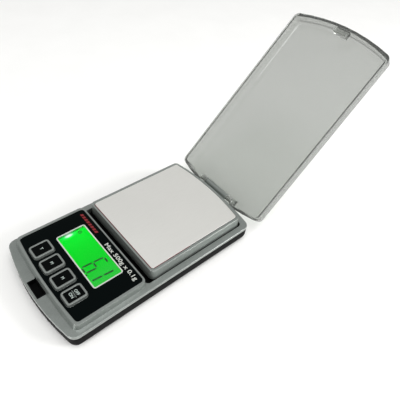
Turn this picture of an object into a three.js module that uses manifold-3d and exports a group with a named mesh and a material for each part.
// Pocket gram scale: sprung weighing pan, key panel with lit display, clear hinged cover.
// Millimetres, +Z up. The front, with the keys, faces -Y and the cover's hinge is at +Y.
// While the model is put together, y = 0 is the steel plate's front edge, x = 0 is the middle
// and z = 0 is the table. The origin is moved to the bottom centre at the end.
import * as THREE from "three";
import { mergeVertices } from "three/addons/utils/BufferGeometryUtils.js";
import Module from "manifold-3d";

const wasm = await Module();
wasm.setup();

// Driving dimensions.
// clearances
const seat = 0.02; // between faces that rest on each other
const fit = 0.3; // round pieces that slide or are cut to each other
const screwFit = 0.15; // round a screw

// steel plate and the pan that carries it
const plateHalfWidth = 26.1;
const plateLength = 56.4; // at its side edges
const plateBow = 2.6; // how far the back edge bulges
const plateThickness = 0.6;
const plateCorner = 1.2;
const tapeThickness = 0.3;
const tapeInset = 3;
const panRim = 1.8; // silver rim beside the plate
const panFrontRim = 1.4;
const panBackRim = 1.0;
const panBow = 3.2;
const panDraft = 0.5; // the pan's foot stands out this far
const panCorner = 2.2;
const panFloor = 1.3;
const panWall = 1.5;
const panSink = 0.8; // the pan's foot hangs this far below the ledge
const panTravel = 0.4; // down to the overload posts
const plateGap = 0.25;

// body
const panGap = 0.6; // slit between pan and casing
const ledgeWidth = 3.4; // beside the pan
const frontLedge = 2.1;
const backLedge = 3.3;
const bodyFrontBow = 4.0;
const bodyBackBow = 3.0;
const bodyCornerSpare = 1.0; // corner radius beyond the bottom rounding
const ledgeThickness = 1.5;
const ledgeEdge = 0.4; // rounding of the ledge's top edge
const footHeight = 0.8;
const baseWall = 1.8;
const baseFloor = 1.6;
const baseRound = 3.2; // rounding of the bottom edge
const lipHeight = 1.6;
const lipWall = 1.1;
const shieldThickness = 0.9; // bridge that closes the gap between panel and pan from below
const shieldReach = 3; // how far it goes on under the pan's front

// key panel
const channelWidth = 3.4; // dark gap between panel and pan
const panelHeight = 3.7; // above the ledge
const panelRise = 0.3; // panel's top above the pan's underside
const panelInset = 2.6; // ledge beside the panel
const panelDraft = 0.3;
const panelFrontDraft = 1.4; // the front wall leans more
const panelCorner = 2.6;
const panelWall = 1.6;
const panelPlate = 1.2;
const panelFrontBow = 1.3;
const overlayThickness = 0.5;
const overlaySink = 0.1; // the overlay lies this far below the rim
const overlaySideRim = 1.7;
const overlayFrontRim = 1.3;
const overlayBackRim = 0.9;
const overlayFrontBow = 1.44;
const overlayCorner = 1.6;
const titleStrip = 5.2;
const windowHalfWidth = 17.8;
const windowDepth = 14.7;
const windowCorner = 1.1;
const windowThickness = 1.0;
const keyGap = 3.95; // between window and keys
const keyMargin = 0.55;
const keyCount = 4;
const keyWidth = 7.9;
const keyDepth = 10.1;
const keySpace = 2.5; // between their tops
const keyDraft = 0.35; // the caps flare towards the panel
const keyCorner = 1.5;
const keyRise = 1.1; // above the overlay
const keyTravel = 0.4;
const keyFlange = 0.85;
const keyFlangeThickness = 0.7;
const stemRadius = 1.5;
const labelInset = 0.85;
const labelThickness = 0.3;

// display stack and circuit board
const glassMargin = 1.4; // beyond the window
const glassThickness = 2.1;
const backlightThickness = 2.0;
const stripWidth = 1.1;
const holderWall = 1.0;
const boardThickness = 1.2;
const boardPostRadius = 2.2;
const boardPostY = 6.0; // behind the keys
const switchSize = 4.5;
const switchHeight = 1.6;
const plungerRadius = 1.1;
const plungerHeight = 0.6;
const chipDomeRadius = 5;
const chipDomeHeight = 1.2;
const amplifierSize = [6, 4, 1.4];

// power: two AAA cells across the back
const cellRadius = 5.25;
const cellLength = 44.5; // with its nub
const nubRadius = 1.9;
const nubLength = 0.8;
const cellGap = 0.4;
const cellClearance = 0.2;
const springLength = 3.1;
const springTurns = 3;
const springWire = 0.3;
const contactThickness = 0.3;
const contactHeight = 7;
const bayWall = 1.2;
const bayBackGap = 2.5; // from the pan's back wall
const doorThickness = 1.3;
const doorTongue = 0.8;
const tongueThickness = 0.6;
const gripRidges = 4;
const footStripWidth = 2.6;
const footStripLength = 10;
const footStripSet = 0.5; // how deep a foot sits in the base
const footInset = 5.1; // from the body's side
const footFromCorner = 11.5;
const leadRadius = 0.5;

// load cell
const loadCellLength = 47;
const loadCellWidth = 12;
const loadCellHeight = 6;
const loadCellBoss = 1.8;
const loadCellGap = 4.2; // to the cell bay
const loadCellHole = 2.1;
const loadCellHolePitch = 9;
const clampLength = 11;
const coatingThickness = 0.6;
const stopPostRadius = 1.6;

// screws
const caseScrewRadius = 1.0;
const caseHeadRadius = 1.9;
const clampScrewRadius = 1.3;
const clampHeadRadius = 2.4;
const boardScrewRadius = 0.8;
const boardHeadRadius = 1.5;
const headHeight = 1.0;
const clampHeadHeight = 1.0;
const postRadius = 2.6;
const clampScrewPitch = 6;
const crossWidth = 0.5;

// clear cover and its hinge
const lidThickness = 1.6;
const lidOverhang = 0.4; // beyond the body's sides
const lidFrontOverhang = 0.6;
const lidFrontBow = 4.7;
const lidBackBow = 4.3;
const lidCornerSpare = 0.2; // corner radius beyond the edge rounding
const lidEdge = 3.2; // rounding of the top edge
const lidRimGap = 0.3;
const lidHeadroom = 1.3;
const knuckleGap = 0.1; // knuckle behind the base
const hingeDrop = 0.3; // pin below the ledge's top
const hingeBack = 0.6; // pin behind the cover's back corner
const knuckleRadius = 2.0;
const knuckleHalfLength = 8.6;
const pinRadius = 0.7;
const lugThickness = 3.8;
const lugGap = 0.4;
const lugHalfWidth = 1.7;
const heelReach = 2.5;
const openAngle = 136.7; // degrees from shut
const slotHalfWidth = 4.8;
const slotDepth = 2.9;
const slotNotch = 0.9; // how far it cuts into the panel's front wall
const socketWall = 0.5;
const socketDrop = 1.5; // below the ledge
const latchClearance = 0.5;
const latchTabThickness = 1.3;
const latchTabDrop = 2.4;
const latchBlockHeight = 2.6;

// smoothness
const roundSteps = 20;
const cornerSteps = 4;
const bowSteps = 8;
const edgeSteps = 3;

// Worked-out levels, from the table up.
const baseBottom = footHeight;
const floorTop = baseBottom + baseFloor;
const doorTop = baseBottom + doorThickness;
const cellZ = doorTop + cellClearance + cellRadius;
const panUnderside = cellZ + cellRadius + panTravel + fit;
const tapeBottom = panUnderside + panFloor;
const plateBottom = tapeBottom + tapeThickness;
const plateTop = plateBottom + plateThickness;
const panelTop = panUnderside + panelRise;
const ledgeTop = panelTop - panelHeight;
const baseTop = ledgeTop - ledgeThickness;
const overlayTop = panelTop - overlaySink;
const overlayBottom = overlayTop - overlayThickness;
const panelUnderside = overlayBottom - panelPlate;
const glassBottom = panelUnderside - fit - glassThickness;
const backlightBottom = glassBottom - seat - backlightThickness;
const boardTop = backlightBottom - fit;
const boardBottom = boardTop - boardThickness;
const loadCellBottom = floorTop + loadCellBoss;
const loadCellTop = loadCellBottom + loadCellHeight;
const panFoot = ledgeTop - panSink;

// Worked-out plan, front to back.
const panHalfWidth = plateHalfWidth + panRim;
const panFootHalfWidth = panHalfWidth + panDraft;
const panFront = -panFrontRim;
const panFootFront = panFront - panDraft;
const panBack = plateLength + panBackRim;
const panFootBack = panBack + panDraft;
const wellHalfWidth = panFootHalfWidth + panGap;
const wellBack = panFootBack + panGap;
const bodyHalfWidth = wellHalfWidth + ledgeWidth;
const bodyBack = wellBack + backLedge;
const bodyCorner = baseRound + bodyCornerSpare;
const panelBack = panFootFront - channelWidth;
const overlayBack = panelBack - overlayBackRim;
const windowBack = overlayBack - titleStrip;
const windowFront = windowBack - windowDepth;
const keyBack = windowFront - keyGap;
const keyPitch = keyWidth + keySpace;
const keyY = keyBack - keyDepth / 2;
const keyFront = keyBack - keyDepth;
const overlayFront = keyFront - keyMargin;
const panelFront = overlayFront - overlayFrontRim;
const bodyFront = panelFront - panelFrontDraft - frontLedge;
const panelHalfWidth = bodyHalfWidth - panelInset;
const overlayHalfWidth = panelHalfWidth - panelDraft - overlaySideRim + panelDraft / 2;
const postX = panelHalfWidth - panelWall - caseScrewRadius;
const postFrontY = bodyFront + footFromCorner + footStripLength / 2 + caseHeadRadius + 2 * fit;
const postBackY = panelBack - panelWall - postRadius - fit;
const boardHalfWidth = postX - postRadius - 2 * fit;
const boardFront = keyFront - keyMargin;
const boardBack = windowBack + glassMargin + holderWall + keyMargin;

// cell bay
const cellHalfSpan = cellLength / 2 + (springLength + contactThickness) / 2;
const contactInner = cellHalfSpan - contactThickness / 2 + fit / 2;
const bayHalfWidth = contactInner + contactThickness + fit;
const cellBackY = panBack - panWall - bayBackGap - cellRadius + panDraft + fit;
const cellFrontY = cellBackY - 2 * cellRadius - cellGap;
const bayFront = cellFrontY - cellRadius - cellGap;
const doorHalfWidth = bayHalfWidth;
const doorFront = bayFront - bayWall / 2;

// load cell place
const loadCellY = bayFront - bayWall - loadCellGap - loadCellWidth / 2;
const clampX = loadCellLength / 2 - clampLength / 2;

// leads
const leadExitZ = cellZ - cellRadius / 3;
const leadLaneX = bayHalfWidth + bayWall + 2 * leadRadius + fit;
const leadLaneZ = floorTop + leadRadius + 2 * fit;
const leadSpacing = 2 * leadRadius + 2 * fit;

// hinge axis
const hingeY = bodyBack + bodyBackBow + knuckleGap + knuckleRadius;
const hingeZ = ledgeTop - hingeDrop;
const lidHalfWidth = bodyHalfWidth + lidOverhang;
const lidFront = bodyFront - lidFrontOverhang;
const lidBack = hingeY - hingeBack;
const lidCorner = lidEdge + lidCornerSpare;
const lidRim = ledgeTop + lidRimGap;
const lidInside = plateTop + lidHeadroom;
const lidTop = lidInside + lidThickness;
const lugInner = knuckleHalfLength + lugGap;
const lugOuter = lugInner + lugThickness;
const slotBack = panelFront - panelFrontBow - panelFrontDraft - seat;
const slotFront = slotBack - slotDepth;
const socketFront = slotFront - socketWall;
const socketBack = slotBack + slotNotch;
const socketHalf = slotHalfWidth + socketWall;
const socketBottom = baseTop - socketDrop;

// Materials.
function finish(color, roughness, metalness, opacity = 1) {
  return new THREE.MeshStandardMaterial({
    color, roughness, metalness, opacity, transparent: opacity < 1,
  });
}
const silverPlastic = finish(0xb4bab8, 0.4, 0.35);
const blackPlastic = finish(0x17191a, 0.55, 0);
const glossBlack = finish(0x07100f, 0.12, 0);
const clearPlastic = finish(0xbfc4bf, 0.12, 0, 0.4);
const brushedSteel = finish(0xcfccc4, 0.32, 0.9);
const brightSteel = finish(0xb9bcc0, 0.25, 1);
const aluminium = finish(0xbfc2c4, 0.4, 0.9);
const rubber = finish(0x232425, 0.9, 0);
const displayGreen = finish(0x22d43a, 0.3, 0);
const boardGreen = finish(0x1f6b3a, 0.5, 0);
const whitePlastic = finish(0xe6e6e0, 0.5, 0);
const darkRubber = finish(0x303335, 0.8, 0);
const foamTape = finish(0xd8d4c8, 0.9, 0);
const siliconeWhite = finish(0xf0efe8, 0.6, 0);
const cellSleeve = finish(0x2f5f8f, 0.35, 0.3);
const redWire = finish(0xb02020, 0.5, 0);
const blackWire = finish(0x1a1a1a, 0.5, 0);
const greyWire = finish(0x7d8084, 0.5, 0);

// Shape helpers.
function solid(geometry) {
  const plain = geometry.clone();
  plain.deleteAttribute("normal");
  plain.deleteAttribute("uv");
  const merged = mergeVertices(plain);
  return new wasm.Manifold(new wasm.Mesh({
    numProp: 3,
    vertProperties: new Float32Array(merged.attributes.position.array),
    triVerts: new Uint32Array(merged.index.array),
  }));
}

function join(...pieces) {
  return pieces.reduce((whole, piece) => whole.add(piece));
}

function cut(body, ...tools) {
  return tools.reduce((rest, tool) => rest.subtract(tool), body);
}

function block(x0, x1, y0, y1, z0, z1) {
  const geometry = new THREE.BoxGeometry(x1 - x0, y1 - y0, z1 - z0);
  geometry.translate((x0 + x1) / 2, (y0 + y1) / 2, (z0 + z1) / 2);
  return solid(geometry);
}

function rodGeometry(radius, length, topRadius, steps) {
  return new THREE.CylinderGeometry(topRadius, radius, length, steps);
}

function rodZ(radius, x, y, z0, z1, topRadius = radius, steps = roundSteps) {
  const geometry = rodGeometry(radius, z1 - z0, topRadius, steps);
  geometry.rotateX(Math.PI / 2);
  geometry.translate(x, y, (z0 + z1) / 2);
  return solid(geometry);
}

function rodX(radius, x0, x1, y, z, steps = roundSteps) {
  const geometry = rodGeometry(radius, x1 - x0, radius, steps);
  geometry.rotateZ(-Math.PI / 2);
  geometry.translate((x0 + x1) / 2, y, z);
  return solid(geometry);
}

function rodY(radius, x, y0, y1, z, steps = roundSteps) {
  const geometry = rodGeometry(radius, y1 - y0, radius, steps);
  geometry.translate(x, (y0 + y1) / 2, z);
  return solid(geometry);
}

// Points of one bowed end, from right to left; y = 0 is the line through its sharp corners.
function endPoints(halfWidth, bow, corner) {
  const points = [];
  const bowRadius = bow > 0 ? (halfWidth ** 2 + bow ** 2) / (2 * bow) : 0;
  const bowCentre = bow - bowRadius;
  const filletX = halfWidth - corner;
  let filletY = -corner;
  let turn = Math.PI / 2;
  if (bow > 0) {
    filletY = bowCentre + Math.sqrt((bowRadius - corner) ** 2 - filletX ** 2);
    turn = Math.atan2(filletY - bowCentre, filletX);
  }
  for (let i = 0; i <= cornerSteps; i += 1) {
    const angle = (turn * i) / cornerSteps;
    points.push([filletX + corner * Math.cos(angle), filletY + corner * Math.sin(angle)]);
  }
  if (bow > 0) {
    for (let i = 1; i < bowSteps; i += 1) {
      const angle = turn + ((Math.PI - 2 * turn) * i) / bowSteps;
      points.push([bowRadius * Math.cos(angle), bowCentre + bowRadius * Math.sin(angle)]);
    }
  }
  for (let i = cornerSteps; i >= 0; i -= 1) {
    const [x, y] = points[i];
    points.push([-x, y]);
  }
  return points;
}

// Outline with straight sides and ends that may bulge.
function outline({ halfWidth, front, back, frontBow = 0, backBow = 0, corner, grow = 0, x = 0 }) {
  const radius = Math.max(corner + grow, fit);
  const backEnd = endPoints(halfWidth + grow, backBow, radius);
  const frontEnd = endPoints(halfWidth + grow, frontBow, radius).reverse();
  return new THREE.Shape([
    ...backEnd.map(([px, py]) => new THREE.Vector2(x + px, back + grow + py)),
    ...frontEnd.map(([px, py]) => new THREE.Vector2(x + px, front - grow - py)),
  ]);
}

function slab(spec, z0, z1) {
  const geometry = new THREE.ExtrudeGeometry(outline(spec), { depth: z1 - z0, bevelEnabled: false });
  geometry.translate(0, 0, z0);
  return solid(geometry);
}

// A slab with all its top and bottom edges rounded.
function roundedSlab(spec, z0, z1, radius) {
  const geometry = new THREE.ExtrudeGeometry(outline(spec), {
    depth: z1 - z0 - 2 * radius,
    bevelEnabled: true,
    bevelSize: radius,
    bevelThickness: radius,
    bevelOffset: -radius,
    bevelSegments: edgeSteps,
  });
  geometry.translate(0, 0, z0 + radius);
  return solid(geometry);
}

const far = 200; // reach of a cut that has to clear everything

function roundedBelow(spec, z0, z1, radius) {
  const raised = roundedSlab(spec, z0, z1 + 2 * radius, radius);
  return cut(raised, block(-far, far, -far, far, z1, far));
}

function roundedAbove(spec, z0, z1, radius) {
  const lowered = roundedSlab(spec, z0 - 2 * radius, z1, radius);
  return cut(lowered, block(-far, far, -far, far, -far, z0));
}

// A slab whose sides lean: its foot stands out by draft, and by frontDraft at the front.
function draftedSlab(spec, z0, z1, draft, frontDraft = draft) {
  const { grow = 0, front } = spec;
  const lowSpec = { ...spec, grow: grow + draft, front: front + draft - frontDraft };
  const low = outline(lowSpec).getPoints();
  const high = outline(spec).getPoints();
  const steps = high.length;
  const positions = [];
  const quad = (a, b, c, d) => positions.push(...a, ...b, ...c, ...a, ...c, ...d);
  for (let i = 0; i < steps; i += 1) {
    const j = (i + 1) % steps;
    quad(
      [low[i].x, low[i].y, z0], [low[j].x, low[j].y, z0],
      [high[j].x, high[j].y, z1], [high[i].x, high[i].y, z1],
    );
  }
  for (const [ring, z, up] of [[low, z0, false], [high, z1, true]]) {
    for (const [a, b, c] of THREE.ShapeUtils.triangulateShape(ring, [])) {
      const corners = up ? [a, b, c] : [a, c, b];
      corners.forEach((k) => positions.push(ring[k].x, ring[k].y, z));
    }
  }
  const geometry = new THREE.BufferGeometry();
  geometry.setAttribute("position", new THREE.Float32BufferAttribute(positions, 3));
  return solid(geometry);
}

// A tube of radius r along a smooth curve through the points.
function tube(points, radius, sides, stepsPerPoint) {
  const path = new THREE.CatmullRomCurve3(points.map((p) => new THREE.Vector3(...p)));
  return solid(sweep(path, radius, sides, points.length * stepsPerPoint));
}

function sweep(path, radius, sides, steps) {
  const section = new THREE.Shape();
  for (let i = 0; i < sides; i += 1) {
    const angle = (2 * Math.PI * i) / sides;
    const x = radius * Math.cos(angle);
    const y = radius * Math.sin(angle);
    if (i === 0) section.moveTo(x, y);
    else section.lineTo(x, y);
  }
  section.closePath();
  return new THREE.ExtrudeGeometry(section, { steps, extrudePath: path, bevelEnabled: false });
}

// A cross-head screw: head below, shank up from z0, or turned over when down is set.
function screw(x, y, z0, radius, headRadius, head, length, down = false) {
  const way = down ? -1 : 1;
  const level = (a, b) => [Math.min(z0 + way * a, z0 + way * b), Math.max(z0 + way * a, z0 + way * b)];
  const [headLow, headHigh] = level(0, head);
  const [shankLow, shankHigh] = level(head / 2, head + length);
  const [crossLow, crossHigh] = level(-head, head / 2);
  const arm = headRadius * 0.6;
  return cut(
    join(rodZ(headRadius, x, y, headLow, headHigh), rodZ(radius, x, y, shankLow, shankHigh)),
    block(x - arm, x + arm, y - crossWidth / 2, y + crossWidth / 2, crossLow, crossHigh),
    block(x - crossWidth / 2, x + crossWidth / 2, y - arm, y + arm, crossLow, crossHigh),
  );
}

// Scene.
const scale = new THREE.Group();
const hinge = new THREE.Group(); // turns the cover about its pin
hinge.position.set(0, hingeY, hingeZ);
hinge.rotation.x = -THREE.MathUtils.degToRad(openAngle);
scale.add(hinge);

function add(name, body, material, parent = scale) {
  const { vertProperties, triVerts } = body.getMesh();
  const geometry = new THREE.BufferGeometry();
  geometry.setAttribute("position", new THREE.BufferAttribute(vertProperties, 3));
  geometry.setIndex(new THREE.BufferAttribute(triVerts, 1));
  geometry.computeVertexNormals();
  const mesh = new THREE.Mesh(geometry, material);
  mesh.name = name;
  if (parent === hinge) mesh.position.set(0, -hingeY, -hingeZ);
  parent.add(mesh);
  return mesh;
}

const bodyOutline = {
  halfWidth: bodyHalfWidth,
  front: bodyFront,
  back: bodyBack,
  frontBow: bodyFrontBow,
  backBow: bodyBackBow,
  corner: bodyCorner,
};
const panOutline = {
  halfWidth: panHalfWidth, front: panFront, back: panBack, backBow: panBow, corner: panCorner,
};
const panelOutline = {
  halfWidth: panelHalfWidth - panelDraft,
  front: panelFront,
  back: panelBack,
  frontBow: panelFrontBow,
  corner: panelCorner,
};
const postPlaces = [
  [-postX, postFrontY], [postX, postFrontY], [-postX, postBackY], [postX, postBackY],
];
const boardPostPlaces = [-1, 1].map((side) => [
  side * (boardHalfWidth - boardPostRadius + fit), windowFront + boardPostY / 2,
]);
const clampScrewPlaces = [-1, 1].flatMap((end) => [-1, 1].map((side) => [
  end * clampX, loadCellY + (side * clampScrewPitch) / 2,
]));
const footX = bodyHalfWidth - footInset;
const footPlaces = [
  ["front_left", -footX, bodyFront + footFromCorner],
  ["front_right", footX, bodyFront + footFromCorner],
  ["back_left", -footX, bodyBack - footFromCorner],
  ["back_right", footX, bodyBack - footFromCorner],
];
const caseHeadTop = baseBottom + headHeight + fit;
const clampHeadTop = baseBottom + clampHeadHeight + fit;

function footSlab(x, y, grow, z0, z1) {
  return slab({
    halfWidth: footStripWidth / 2,
    front: y - footStripLength / 2,
    back: y + footStripLength / 2,
    corner: footStripWidth / 2 - fit / 2,
    grow,
    x,
  }, z0, z1);
}

// The sliding cover of the cell bay: the base's own outer skin, with a tongue along each side.
function doorShape(grow) {
  const outer = roundedBelow(bodyOutline, baseBottom - grow, baseTop, baseRound);
  const top = doorTop + grow;
  const half = doorHalfWidth + grow;
  const panel = block(-half, half, doorFront - grow, far, baseBottom - 2 * grow, top);
  const reach = half + doorTongue;
  const tongueFloor = doorTop - tongueThickness - grow;
  const tongues = block(-reach, reach, doorFront - grow, far, tongueFloor, top);
  const lip = block(-half - grow, half + grow, doorFront - grow, far, baseBottom - 2 * grow, top);
  const plan = join(panel, tongues);
  return grow > 0 ? join(plan, lip) : plan.intersect(outer);
}

function buildBase() {
  const inner = { ...bodyOutline, grow: -baseWall };
  const outer = roundedBelow(bodyOutline, baseBottom, baseTop - seat, baseRound);
  const cavity = roundedSlab(inner, floorTop, far, baseRound - baseWall);
  let shell = cut(outer, cavity);
  const posts = postPlaces.map(([x, y]) => rodZ(postRadius, x, y, baseBottom + fit, baseTop - seat));
  const boardPosts = boardPostPlaces.map(([x, y]) => (
    rodZ(boardPostRadius, x, y, baseBottom + fit, boardBottom - seat)
  ));
  const stopTop = panUnderside - panTravel - seat;
  const stopX = loadCellLength / 2 - stopPostRadius;
  const stops = [
    [-stopX, stopPostRadius * 3], [stopX, stopPostRadius * 3],
    [-stopX, loadCellY + loadCellWidth / 2 + loadCellGap / 2],
    [stopX, loadCellY + loadCellWidth / 2 + loadCellGap / 2],
  ].map(([x, y]) => rodZ(stopPostRadius, x, y, baseBottom + fit, stopTop, stopPostRadius * 0.8));
  const clampBoss = block(
    -clampX - clampLength / 2, -clampX + clampLength / 2,
    loadCellY - loadCellWidth / 2, loadCellY + loadCellWidth / 2,
    baseBottom + fit, loadCellBottom - seat,
  );
  const wallTop = baseTop - seat;
  const bayBack = bodyBack - baseWall;
  const walls = [
    block(
      -bayHalfWidth - bayWall, bayHalfWidth + bayWall, bayFront - bayWall, bayFront, floorTop - fit, wallTop,
    ),
    block(-bayHalfWidth - bayWall, -bayHalfWidth, bayFront - bayWall, bayBack, floorTop - fit, wallTop),
    block(bayHalfWidth, bayHalfWidth + bayWall, bayFront - bayWall, bayBack, floorTop - fit, wallTop),
  ];
  const shieldTop = baseTop - lipHeight - 2 * fit;
  const shieldBottom = Math.max(shieldTop - shieldThickness, leadLaneZ + leadRadius + fit);
  const shield = block(
    -bodyHalfWidth + baseWall / 2, bodyHalfWidth - baseWall / 2, panelBack - fit, panFootFront + shieldReach,
    shieldBottom, shieldTop,
  );
  shell = join(shell, ...posts, ...boardPosts, ...stops, clampBoss, ...walls, shield);
  const bayHole = block(
    -bayHalfWidth, bayHalfWidth, bayFront, cellBackY + cellRadius + cellGap, baseBottom - fit, floorTop + fit,
  );
  const caseHoles = postPlaces.flatMap(([x, y]) => [
    rodZ(caseScrewRadius + screwFit, x, y, 0, far),
    rodZ(caseHeadRadius + screwFit, x, y, 0, caseHeadTop),
  ]);
  const clampHoles = clampScrewPlaces.filter(([x]) => x < 0).flatMap(([x, y]) => [
    rodZ(clampScrewRadius + screwFit, x, y, 0, far),
    rodZ(clampHeadRadius + screwFit, x, y, 0, clampHeadTop),
  ]);
  const boardHoles = boardPostPlaces.map(([x, y]) => (
    rodZ(boardScrewRadius + screwFit, x, y, floorTop, far)
  ));
  const footPockets = footPlaces.map(([, x, y]) => (
    footSlab(x, y, screwFit, 0, baseBottom + footStripSet)
  ));
  const leadHoles = [cellFrontY, cellBackY].map((y) => (
    rodX(leadRadius + 2 * fit, bayHalfWidth - fit, bayHalfWidth + bayWall + fit, y, leadExitZ, 8)
  ));
  const lipRoom = cut(
    slab(inner, baseTop - lipHeight - fit, far),
    slab({ ...inner, grow: -baseWall - lipWall - 2 * fit }, 0, far),
  );
  const socketRoom = block(
    -socketHalf - fit, socketHalf + fit, socketFront - fit, socketBack + fit, socketBottom - fit, far,
  );
  return cut(
    shell, lipRoom, socketRoom, doorShape(fit), bayHole,
    ...caseHoles, ...clampHoles, ...boardHoles, ...footPockets, ...leadHoles,
  );
}

function buildDoor() {
  let door = doorShape(0);
  const ridgePitch = 1.6;
  for (let i = 0; i < gripRidges; i += 1) {
    const y = cellBackY - cellRadius / 2 + i * ridgePitch;
    door = cut(door, block(-cellRadius, cellRadius, y, y + ridgePitch / 2, 0, baseBottom + fit));
  }
  return door;
}

function buildFeet() {
  footPlaces.forEach(([name, x, y]) => {
    const foot = footSlab(x, y, 0, 0, baseBottom + footStripSet - seat);
    add(`rubber_foot_${name}`, foot, rubber);
  });
}

function buildCasing() {
  const ledge = roundedAbove(bodyOutline, baseTop, ledgeTop, ledgeEdge);
  const lipOuter = slab({ ...bodyOutline, grow: -baseWall - fit }, baseTop - lipHeight, baseTop + fit);
  const lipInner = slab({ ...bodyOutline, grow: -baseWall - fit - lipWall }, 0, baseTop);
  const housing = draftedSlab(panelOutline, baseTop, panelTop, panelDraft, panelFrontDraft);
  const hollow = slab({ ...panelOutline, grow: -panelWall }, baseTop - 2 * lipHeight, panelUnderside);
  const well = slab({
    halfWidth: wellHalfWidth,
    front: panelBack + fit,
    back: wellBack,
    backBow: panBow,
    corner: panCorner,
  }, 0, far);
  const overlayPocket = slab({
    halfWidth: overlayHalfWidth,
    front: overlayFront,
    back: overlayBack,
    frontBow: overlayFrontBow,
    corner: overlayCorner,
    grow: screwFit,
  }, overlayBottom - seat, far);
  const windowHole = slab({
    halfWidth: windowHalfWidth, front: windowFront, back: windowBack, corner: windowCorner, grow: screwFit,
  }, 0, far);
  const keyHoles = keyPlaces().map(([, x]) => (
    slab(keyOutline(x, keyDraft + screwFit), panelUnderside - fit, far)
  ));
  const flangeRooms = keyPlaces().map(([, x]) => slab(
    keyOutline(x, keyFlange + screwFit),
    panelUnderside - keyFlangeThickness - keyTravel - fit, panelUnderside,
  ));
  const bosses = postPlaces.map(([x, y]) => rodZ(postRadius, x, y, baseTop, panelUnderside + fit));
  const bossHoles = postPlaces.map(([x, y]) => (
    rodZ(caseScrewRadius + screwFit, x, y, 0, panelUnderside - fit)
  ));
  const slot = block(
    -socketHalf - screwFit, socketHalf + screwFit, socketFront - screwFit, socketBack + screwFit,
    0, ledgeTop + slotNotch,
  );
  const knuckle = rodX(knuckleRadius, -knuckleHalfLength, knuckleHalfLength, hingeY, hingeZ);
  const web = block(
    -knuckleHalfLength, knuckleHalfLength, bodyBack, hingeY, baseTop, ledgeTop,
  );
  const bore = rodX(pinRadius + screwFit, -far, far, hingeY, hingeZ);
  const shell = cut(join(ledge, housing, lipOuter), cut(lipInner, housing), hollow, well);
  return cut(
    join(shell, ...bosses, knuckle, web),
    overlayPocket, windowHole, ...keyHoles, ...flangeRooms, ...bossHoles, slot, bore,
  );
}

// Black liner of the slot that takes the cover's hook.
function buildSocket() {
  const liner = cut(
    block(-socketHalf, socketHalf, socketFront, socketBack, socketBottom, ledgeTop - seat),
    block(
      -slotHalfWidth, slotHalfWidth, slotFront, slotBack + slotNotch - socketWall,
      socketBottom + socketWall, far,
    ),
  );
  const tall = block(
    -socketHalf, socketHalf, socketBack - socketWall, socketBack,
    socketBottom, ledgeTop + slotNotch - screwFit,
  );
  return join(liner, tall);
}

function buildOverlay() {
  const sheet = slab({
    halfWidth: overlayHalfWidth,
    front: overlayFront,
    back: overlayBack,
    frontBow: overlayFrontBow,
    corner: overlayCorner,
  }, overlayBottom, overlayTop);
  const windowHole = slab({
    halfWidth: windowHalfWidth, front: windowFront, back: windowBack, corner: windowCorner, grow: screwFit,
  }, 0, far);
  const keyHoles = keyPlaces().map(([, x]) => slab(keyOutline(x, keyDraft + screwFit), 0, far));
  return cut(sheet, windowHole, ...keyHoles);
}

// Keys.
function keyPlaces() {
  const names = ["tare", "mode_left", "mode_right", "power"];
  return Array.from({ length: keyCount }, (_, i) => [names[i], (i - (keyCount - 1) / 2) * keyPitch]);
}

function keyOutline(x, grow) {
  return { halfWidth: keyWidth / 2, front: keyFront, back: keyBack, corner: keyCorner, grow, x };
}

function buildKeys() {
  const capTop = overlayTop + keyRise;
  const labelFloor = capTop - labelThickness;
  const flangeTop = panelUnderside - seat;
  const switchTop = boardTop + switchHeight;
  const plungerTop = switchTop + plungerHeight;
  keyPlaces().forEach(([name, x]) => {
    const flange = slab(keyOutline(x, keyFlange), flangeTop - keyFlangeThickness, flangeTop);
    const foot = slab(keyOutline(x, keyDraft), flangeTop - fit, overlayTop - fit);
    const cap = draftedSlab(keyOutline(x, 0), overlayTop - 2 * fit, capTop, keyDraft);
    const stem = rodZ(stemRadius, x, keyY, plungerTop + seat, flangeTop, stemRadius, roundSteps / 2);
    const pocket = slab(keyOutline(x, -labelInset), labelFloor, far);
    add(`key_cap_${name}`, cut(join(flange, foot, cap, stem), pocket), silverPlastic);
    const label = slab(keyOutline(x, -labelInset - screwFit), labelFloor + seat, capTop - seat);
    add(`key_label_${name}`, label, glossBlack);
    const plunger = rodZ(plungerRadius, x, keyY, switchTop - plungerHeight, plungerTop);
    add(`switch_plunger_${name}`, plunger, whitePlastic);
    const half = switchSize / 2;
    const housing = cut(
      block(x - half, x + half, keyY - half, keyY + half, boardTop + seat, switchTop),
      rodZ(plungerRadius + screwFit, x, keyY, switchTop - plungerHeight - keyTravel - fit, far),
    );
    add(`tact_switch_${name}`, housing, brightSteel);
  });
}

// Display and circuit board.
function buildDisplay() {
  const windowOutline = {
    halfWidth: windowHalfWidth, front: windowFront, back: windowBack, corner: windowCorner,
  };
  const pane = slab(windowOutline, overlayTop - windowThickness, overlayTop);
  add("display_window", pane, clearPlastic);
  const glassHalf = windowHalfWidth + glassMargin;
  const glassFront = windowFront - glassMargin;
  const glassBack = windowBack + glassMargin;
  add("lcd_glass", block(
    -glassHalf, glassHalf, glassFront, glassBack, glassBottom, glassBottom + glassThickness,
  ), displayGreen);
  add("display_backlight", block(
    -glassHalf, glassHalf, glassFront + stripWidth + 2 * fit, glassBack,
    backlightBottom, backlightBottom + backlightThickness,
  ), whitePlastic);
  add("contact_strip", block(
    -windowHalfWidth, windowHalfWidth, glassFront + fit, glassFront + fit + stripWidth,
    boardTop + seat, glassBottom - seat,
  ), darkRubber);
  const holder = cut(
    block(
      -glassHalf - holderWall, glassHalf + holderWall, glassFront - holderWall, glassBack + holderWall,
      boardTop + seat, panelUnderside - seat,
    ),
    block(-glassHalf - screwFit, glassHalf + screwFit, glassFront - screwFit, glassBack + screwFit, 0, far),
  );
  add("display_holder", holder, whitePlastic);
}

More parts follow.
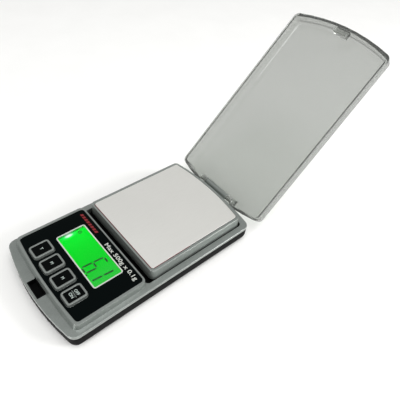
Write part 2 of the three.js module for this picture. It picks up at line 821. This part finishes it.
function buildBoard() {
  const board = cut(
    block(-boardHalfWidth, boardHalfWidth, boardFront, boardBack, boardBottom, boardTop),
    ...boardPostPlaces.map(([x, y]) => rodZ(boardScrewRadius + screwFit, x, y, 0, far)),
  );
  add("circuit_board", board, boardGreen);
  const domePoints = [];
  const domeSteps = 5;
  for (let i = 0; i <= domeSteps; i += 1) {
    const angle = (Math.PI / 2) * (i / domeSteps);
    domePoints.push(new THREE.Vector2(
      i === domeSteps ? 0 : chipDomeRadius * Math.cos(angle), chipDomeHeight * Math.sin(angle),
    ));
  }
  const dome = new THREE.LatheGeometry([new THREE.Vector2(0, 0), ...domePoints], roundSteps);
  dome.rotateX(-Math.PI / 2);
  dome.translate(0, (windowFront + windowBack) / 2, boardBottom - seat);
  add("controller_chip", solid(dome), blackPlastic);
  const [length, width, height] = amplifierSize;
  const chipX = chipDomeRadius * 2;
  add("amplifier_chip", block(
    chipX, chipX + length, windowFront, windowFront + width, boardBottom - seat - height, boardBottom - seat,
  ), blackPlastic);
  boardPostPlaces.forEach(([x, y], i) => {
    const tip = (floorTop + boardBottom) / 2;
    const piece = screw(
      x, y, boardTop + seat + headHeight, boardScrewRadius, boardHeadRadius, headHeight,
      boardTop + seat - tip, true,
    );
    add(`board_screw_${i + 1}`, piece, brightSteel);
  });
}

// Weighing pan and load cell.
function buildPan() {
  const rimTop = plateTop - screwFit;
  const shell = draftedSlab(panOutline, panFoot, rimTop, panDraft);
  const inside = draftedSlab({ ...panOutline, grow: -panWall }, 0, panUnderside, panDraft);
  const pocket = slab({ ...plateOutline(), grow: plateGap }, tapeBottom, far);
  const boss = block(
    clampX - clampLength / 2, clampX + clampLength / 2,
    loadCellY - loadCellWidth / 2, loadCellY + loadCellWidth / 2,
    loadCellTop + seat, panUnderside + fit,
  );
  const holes = clampScrewPlaces.filter(([x]) => x > 0).flatMap(([x, y]) => [
    rodZ(clampScrewRadius + screwFit, x, y, 0, far),
    rodZ(clampHeadRadius + screwFit, x, y, tapeBottom - clampHeadHeight - screwFit, far),
  ]);
  add("pan_carrier", cut(join(cut(shell, inside), boss), pocket, ...holes), silverPlastic);
  const tape = slab({ ...plateOutline(), grow: -tapeInset }, tapeBottom + seat, plateBottom - seat);
  add("foam_tape", tape, foamTape);
  add("weighing_plate", slab(plateOutline(), plateBottom, plateTop), brushedSteel);
}

function plateOutline() {
  return { halfWidth: plateHalfWidth, front: 0, back: plateLength, backBow: plateBow, corner: plateCorner };
}

function buildLoadCell() {
  const y0 = loadCellY - loadCellWidth / 2;
  const y1 = loadCellY + loadCellWidth / 2;
  const middle = (loadCellBottom + loadCellTop) / 2;
  const halfPitch = loadCellHolePitch / 2;
  const slotHalf = loadCellHole / 3;
  const bar = cut(
    block(-loadCellLength / 2, loadCellLength / 2, y0, y1, loadCellBottom, loadCellTop),
    rodY(loadCellHole, -halfPitch, y0 - 1, y1 + 1, middle),
    rodY(loadCellHole, halfPitch, y0 - 1, y1 + 1, middle),
    block(-halfPitch, halfPitch, y0 - 1, y1 + 1, middle - slotHalf, middle + slotHalf),
    ...clampScrewPlaces.map(([x, y]) => rodZ(clampScrewRadius + screwFit, x, y, 0, far)),
  );
  add("load_cell", bar, aluminium);
  const coatHalf = halfPitch + loadCellHole;
  add("gauge_coating", block(
    -coatHalf, coatHalf, y0 + 1, y1 - 1, loadCellTop + seat, loadCellTop + coatingThickness,
  ), siliconeWhite);
  clampScrewPlaces.forEach(([x, y], i) => {
    const fixed = x < 0;
    const start = fixed ? baseBottom + fit : tapeBottom - screwFit / 2;
    const end = fixed ? loadCellTop - 1 : loadCellBottom + 1;
    const length = Math.abs(end - start) - clampHeadHeight;
    const piece = screw(x, y, start, clampScrewRadius, clampHeadRadius, clampHeadHeight, length, !fixed);
    add(`load_cell_screw_${i + 1}`, piece, brightSteel);
  });
}

// Cells, contacts and leads.
function buildCell(y, positiveSide) {
  const tip = positiveSide * (contactInner - seat);
  const shoulder = tip - positiveSide * nubLength;
  const tail = tip - positiveSide * cellLength;
  const can = rodX(cellRadius, Math.min(shoulder, tail), Math.max(shoulder, tail), y, cellZ);
  const nubEnds = [shoulder - positiveSide, tip];
  const nub = rodX(nubRadius, Math.min(...nubEnds), Math.max(...nubEnds), y, cellZ);
  return join(can, nub);
}

// Coil spring that narrows towards the cell.
function buildSpring(y, side) {
  class Coil extends THREE.Curve {
    getPoint(t, target = new THREE.Vector3()) {
      const angle = 2 * Math.PI * springTurns * t;
      const radius = THREE.MathUtils.lerp(cellRadius / 2, nubRadius, t);
      const start = contactInner - springWire - fit;
      const end = contactInner - springLength + springWire + fit;
      return target.set(
        side * THREE.MathUtils.lerp(start, end, t),
        y + radius * Math.cos(angle),
        cellZ + radius * Math.sin(angle),
      );
    }
  }
  const stepsPerTurn = 12;
  return solid(sweep(new Coil(), springWire, 6, springTurns * stepsPerTurn));
}

function contactPlate(side, y0, y1) {
  const x0 = side * contactInner;
  const x1 = side * (contactInner + contactThickness);
  const z0 = cellZ - contactHeight / 2;
  return block(Math.min(x0, x1), Math.max(x0, x1), y0, y1, z0, z0 + contactHeight);
}

function buildPower() {
  add("aaa_cell_front", buildCell(cellFrontY, -1), cellSleeve);
  add("aaa_cell_back", buildCell(cellBackY, 1), cellSleeve);
  const reach = cellRadius - 1;
  add("contact_bridge", contactPlate(-1, cellFrontY - reach, cellBackY + reach), brightSteel);
  add("contact_negative", contactPlate(1, cellFrontY - reach, cellFrontY + reach), brightSteel);
  add("contact_positive", contactPlate(1, cellBackY - reach, cellBackY + reach), brightSteel);
  add("contact_spring_front", buildSpring(cellFrontY, 1), brightSteel);
  add("contact_spring_back", buildSpring(cellBackY, -1), brightSteel);
  const boardEdge = boardBack - 2;
  const solder = boardBottom - leadRadius - fit / 2;
  const leadEnd = boardHalfWidth - 2 * leadSpacing;
  const leads = [
    ["battery_lead_red", cellBackY, redWire, 0],
    ["battery_lead_black", cellFrontY, blackWire, 1],
  ];
  leads.forEach(([name, y, material, lane]) => {
    const x = leadLaneX + lane * leadSpacing;
    const endX = leadEnd - (1 - lane) * leadSpacing;
    add(name, tube([
      [contactInner + contactThickness + seat, y, leadExitZ],
      [bayHalfWidth + bayWall + fit, y, leadExitZ],
      [x, y - leadSpacing, (leadExitZ + leadLaneZ) / 2],
      [x, y - 3 * leadSpacing, leadLaneZ],
      [x, loadCellY, leadLaneZ],
      [x, plateLength / 8, leadLaneZ],
      [endX + leadSpacing, panelBack, leadLaneZ],
      [endX, boardEdge, solder - fit],
      [endX, boardEdge - leadSpacing, solder],
    ], leadRadius, 6, 3), material);
  });
  const cellFace = loadCellY - loadCellWidth / 2;
  const gaugeX = -loadCellHole;
  add("load_cell_lead", tube([
    [gaugeX, cellFace + 1, loadCellTop + coatingThickness + leadRadius + seat],
    [gaugeX, cellFace - leadSpacing, loadCellTop],
    [gaugeX, cellFace - 2 * leadSpacing, loadCellBottom],
    [gaugeX * 2, loadCellY / 3, leadLaneZ],
    [gaugeX * 3, panelBack, leadLaneZ],
    [gaugeX * 4, boardEdge, solder - fit],
    [gaugeX * 4, boardEdge - leadSpacing, solder],
  ], leadRadius, 6, 3), greyWire);
}

function buildCaseScrews() {
  postPlaces.forEach(([x, y], i) => {
    const start = baseBottom + fit;
    const length = panelUnderside - 3 * fit - headHeight - start;
    const solid = screw(x, y, start, caseScrewRadius, caseHeadRadius, headHeight, length);
    add(`case_screw_${i + 1}`, solid, brightSteel);
  });
}

// Clear cover, drawn shut and turned open by its hinge group.
function buildLid() {
  const plan = {
    halfWidth: lidHalfWidth,
    front: lidFront,
    back: lidBack,
    frontBow: lidFrontBow,
    backBow: lidBackBow,
    corner: lidCorner,
  };
  const outer = roundedAbove(plan, lidRim, lidTop, lidEdge);
  const inside = roundedSlab({ ...plan, grow: -lidThickness }, -far, lidInside, lidEdge - lidThickness);
  const notchHalf = lugOuter + fit;
  const notch = block(-notchHalf, notchHalf, lidBack, far, lidRim - fit, lidInside);
  const lugs = [-1, 1].map((side) => {
    const x0 = Math.min(side * lugInner, side * lugOuter);
    const x1 = x0 + lugThickness;
    const lugTop = lidInside + lidThickness / 4;
    return join(
      rodX(knuckleRadius, x0, x1, hingeY, hingeZ),
      block(x0, x1, hingeY - lugHalfWidth, hingeY + lugHalfWidth, hingeZ, lugTop),
      block(x0, x1, hingeY, hingeY + heelReach, hingeZ - 2 * fit, hingeZ + 3 * fit),
    );
  });
  const bore = rodX(pinRadius + screwFit, -far, far, hingeY, hingeZ);
  const blockHalf = slotHalfWidth - latchClearance;
  const tabBack = slotBack - latchClearance;
  const tabFront = tabBack - latchTabThickness;
  const wallInside = lidFront - lidFrontBow + lidThickness;
  const latch = join(
    block(-blockHalf, blockHalf, wallInside - fit, tabBack, lidRim + fit, lidRim + latchBlockHeight),
    block(-blockHalf, blockHalf, tabFront, tabBack, lidRim - latchTabDrop, lidRim + latchBlockHeight),
  );
  const shell = cut(outer, inside, notch);
  return cut(join(shell, ...lugs, latch), bore);
}

add("base_shell", buildBase(), blackPlastic);
add("battery_door", buildDoor(), blackPlastic);
buildFeet();
add("upper_casing", buildCasing(), silverPlastic);
add("latch_socket", buildSocket(), blackPlastic);
add("panel_overlay", buildOverlay(), glossBlack);
buildKeys();
buildDisplay();
buildBoard();
buildLoadCell();
buildPan();
buildPower();
buildCaseScrews();
add("hinge_pin", rodX(pinRadius, -lugOuter, lugOuter, hingeY, hingeZ), brightSteel);
add("lid", buildLid(), clearPlastic, hinge);

// Put the origin at the bottom centre of the whole open scale.
scale.updateMatrixWorld(true);
const bounds = new THREE.Box3().setFromObject(scale, true);
scale.position.set(
  -(bounds.min.x + bounds.max.x) / 2, -(bounds.min.y + bounds.max.y) / 2, -bounds.min.z,
);

export default scale;
